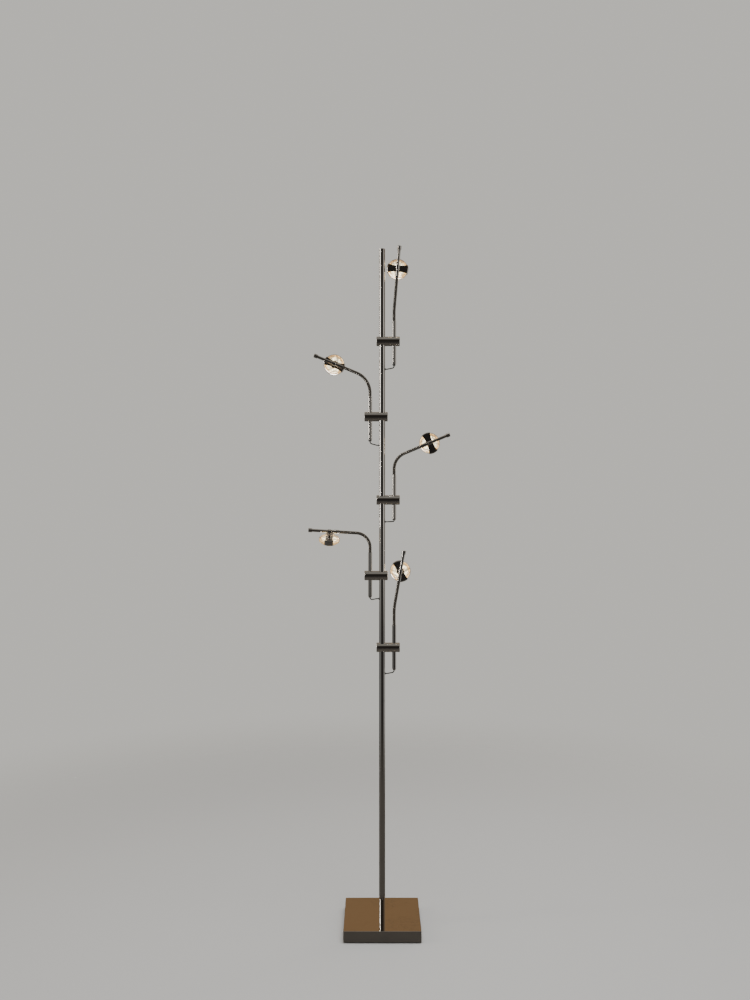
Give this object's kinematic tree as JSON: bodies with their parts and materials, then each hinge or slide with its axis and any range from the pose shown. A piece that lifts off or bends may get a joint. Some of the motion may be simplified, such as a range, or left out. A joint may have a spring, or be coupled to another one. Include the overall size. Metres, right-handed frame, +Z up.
{
  "type": "tree floor lamp",
  "caption": "Upright floor lamp: square weighted base, slim pole, and turning gooseneck arms on cross clamps, each with a tilting lens head that throws a round pool of light.",
  "frame": {"origin": "on the floor under the pole's axis, at the centre of the base", "axes": "+Z up along the pole, +X towards the arms on the right as seen from the front, +Y towards the back, where the lenses look"},
  "size_m": [0.3783, 0.202, 1.8088],
  "materials": {
    "polished_nickel": "mirror polished",
    "cast_iron": "rough cast, blackened",
    "base_rubber": "matt",
    "black_rubber": "smooth, slightly glossy",
    "zinc_steel": "bright zinc",
    "aluminium": "turned, satin",
    "lens_glass": "clear, polished"
  },
  "bodies": {
    "root": {"base_cover": "polished_nickel", "base_weight": "cast_iron", "base_pad": "base_rubber", "base_fasteners": "zinc_steel", "cord_gland": "black_rubber", "pole": "polished_nickel", "pole_cap": "polished_nickel", "pole_spigot": "polished_nickel", "lead_grommets": "black_rubber", "clamp_screws": "zinc_steel", "clamp_1": "polished_nickel", "arm_lead_1": "black_rubber", "clamp_2": "polished_nickel", "arm_lead_2": "black_rubber", "clamp_3": "polished_nickel", "arm_lead_3": "black_rubber", "clamp_4": "polished_nickel", "arm_lead_4": "black_rubber", "clamp_5": "polished_nickel", "arm_lead_5": "black_rubber"},
    "arm_1": {"stem_1": "polished_nickel", "gooseneck_1": "polished_nickel"},
    "front_1": {"rod_1": "polished_nickel", "tip_cap_1": "polished_nickel"},
    "swivel_1": {"ball_stud_1": "polished_nickel"},
    "head_1": {"stirrup_1": "polished_nickel", "led_holder_1": "aluminium", "lens_1": "lens_glass"},
    "arm_2": {"stem_2": "polished_nickel", "gooseneck_2": "polished_nickel"},
    "front_2": {"rod_2": "polished_nickel", "tip_cap_2": "polished_nickel"},
    "swivel_2": {"ball_stud_2": "polished_nickel"},
    "head_2": {"stirrup_2": "polished_nickel", "led_holder_2": "aluminium", "lens_2": "lens_glass"},
    "arm_3": {"stem_3": "polished_nickel", "gooseneck_3": "polished_nickel"},
    "front_3": {"rod_3": "polished_nickel", "tip_cap_3": "polished_nickel"},
    "swivel_3": {"ball_stud_3": "polished_nickel"},
    "head_3": {"stirrup_3": "polished_nickel", "led_holder_3": "aluminium", "lens_3": "lens_glass"},
    "arm_4": {"stem_4": "polished_nickel", "gooseneck_4": "polished_nickel"},
    "front_4": {"rod_4": "polished_nickel", "tip_cap_4": "polished_nickel"},
    "swivel_4": {"ball_stud_4": "polished_nickel"},
    "head_4": {"stirrup_4": "polished_nickel", "led_holder_4": "aluminium", "lens_4": "lens_glass"},
    "arm_5": {"stem_5": "polished_nickel", "gooseneck_5": "polished_nickel"},
    "front_5": {"rod_5": "polished_nickel", "tip_cap_5": "polished_nickel"},
    "swivel_5": {"ball_stud_5": "polished_nickel"},
    "head_5": {"stirrup_5": "polished_nickel", "led_holder_5": "aluminium", "lens_5": "lens_glass"}
  },
  "joints": [
    {"name": "turn_1", "type": "hinge", "parent": "root", "child": "arm_1", "pos_m": [0.032, 0, 1.554], "axis": [0, 0, 1], "range_deg": [-140, 10]},
    {"name": "flex_1", "type": "hinge", "parent": "arm_1", "child": "front_1", "pos_m": [0.032, 0, 1.636], "axis": [0, 1, 0], "range_deg": [-4, 80], "deforming": ["gooseneck_1"]},
    {"name": "spin_1", "type": "hinge", "parent": "front_1", "child": "swivel_1", "pos_m": [0.04171, 0.012, 1.7516], "axis": [0, 1, 0], "range_deg": [-90, 90]},
    {"name": "tilt_1", "type": "hinge", "parent": "swivel_1", "child": "head_1", "pos_m": [0.04171, 0.012, 1.7516], "axis": [0.9965, 0, -0.0837], "range_deg": [-25, 25]},
    {"name": "turn_2", "type": "hinge", "parent": "root", "child": "arm_2", "pos_m": [-0.032, 0, 1.3535], "axis": [0, 0, 1], "range_deg": [-120, 120]},
    {"name": "flex_2", "type": "hinge", "parent": "arm_2", "child": "front_2", "pos_m": [-0.032, 0, 1.4555], "axis": [0, 1, 0], "range_deg": [-23, 62], "deforming": ["gooseneck_2"]},
    {"name": "spin_2", "type": "hinge", "parent": "front_2", "child": "swivel_2", "pos_m": [-0.12836, 0.012, 1.49522], "axis": [0, 1, 0], "range_deg": [-90, 90]},
    {"name": "tilt_2", "type": "hinge", "parent": "swivel_2", "child": "head_2", "pos_m": [-0.12836, 0.012, 1.49522], "axis": [-0.9245, 0, 0.3811], "range_deg": [-25, 25]},
    {"name": "turn_3", "type": "hinge", "parent": "root", "child": "arm_3", "pos_m": [0.032, 0, 1.132], "axis": [0, 0, 1], "range_deg": [-120, 120]},
    {"name": "flex_3", "type": "hinge", "parent": "arm_3", "child": "front_3", "pos_m": [0.032, 0, 1.2445], "axis": [0, 1, 0], "range_deg": [-61, 24], "deforming": ["gooseneck_3"]},
    {"name": "spin_3", "type": "hinge", "parent": "front_3", "child": "swivel_3", "pos_m": [0.12753, 0.012, 1.28446], "axis": [0, 1, 0], "range_deg": [-90, 90]},
    {"name": "tilt_3", "type": "hinge", "parent": "swivel_3", "child": "head_3", "pos_m": [0.12753, 0.012, 1.28446], "axis": [0.3859, 0, -0.9225], "range_deg": [-25, 25]},
    {"name": "turn_4", "type": "hinge", "parent": "root", "child": "arm_4", "pos_m": [-0.032, 0, 0.931], "axis": [0, 0, 1], "range_deg": [-120, 120]},
    {"name": "flex_4", "type": "hinge", "parent": "arm_4", "child": "front_4", "pos_m": [-0.032, 0, 1.042], "axis": [0, 1, 0], "range_deg": [-17, 81], "deforming": ["gooseneck_4"]},
    {"name": "spin_4", "type": "hinge", "parent": "front_4", "child": "swivel_4", "pos_m": [-0.14009, 0.00507, 1.03771], "axis": [-0.0553, 0.4226, -0.9046], "range_deg": [-90, 90]},
    {"name": "tilt_4", "type": "hinge", "parent": "swivel_4", "child": "head_4", "pos_m": [-0.14009, 0.00507, 1.03771], "axis": [0.0258, 0.9063, 0.4218], "range_deg": [-25, 25]},
    {"name": "turn_5", "type": "hinge", "parent": "root", "child": "arm_5", "pos_m": [0.032, 0, 0.74], "axis": [0, 0, 1], "range_deg": [-130, 2]},
    {"name": "flex_5", "type": "hinge", "parent": "arm_5", "child": "front_5", "pos_m": [0.032, 0, 0.844], "axis": [0, 1, 0], "range_deg": [-9, 80], "deforming": ["gooseneck_5"]},
    {"name": "spin_5", "type": "hinge", "parent": "front_5", "child": "swivel_5", "pos_m": [0.04895, 0.012, 0.9411], "axis": [0, 1, 0], "range_deg": [-90, 90]},
    {"name": "tilt_5", "type": "hinge", "parent": "swivel_5", "child": "head_5", "pos_m": [0.04895, 0.012, 0.9411], "axis": [-0.3437, 0, 0.9391], "range_deg": [-25, 25]}
  ]
}
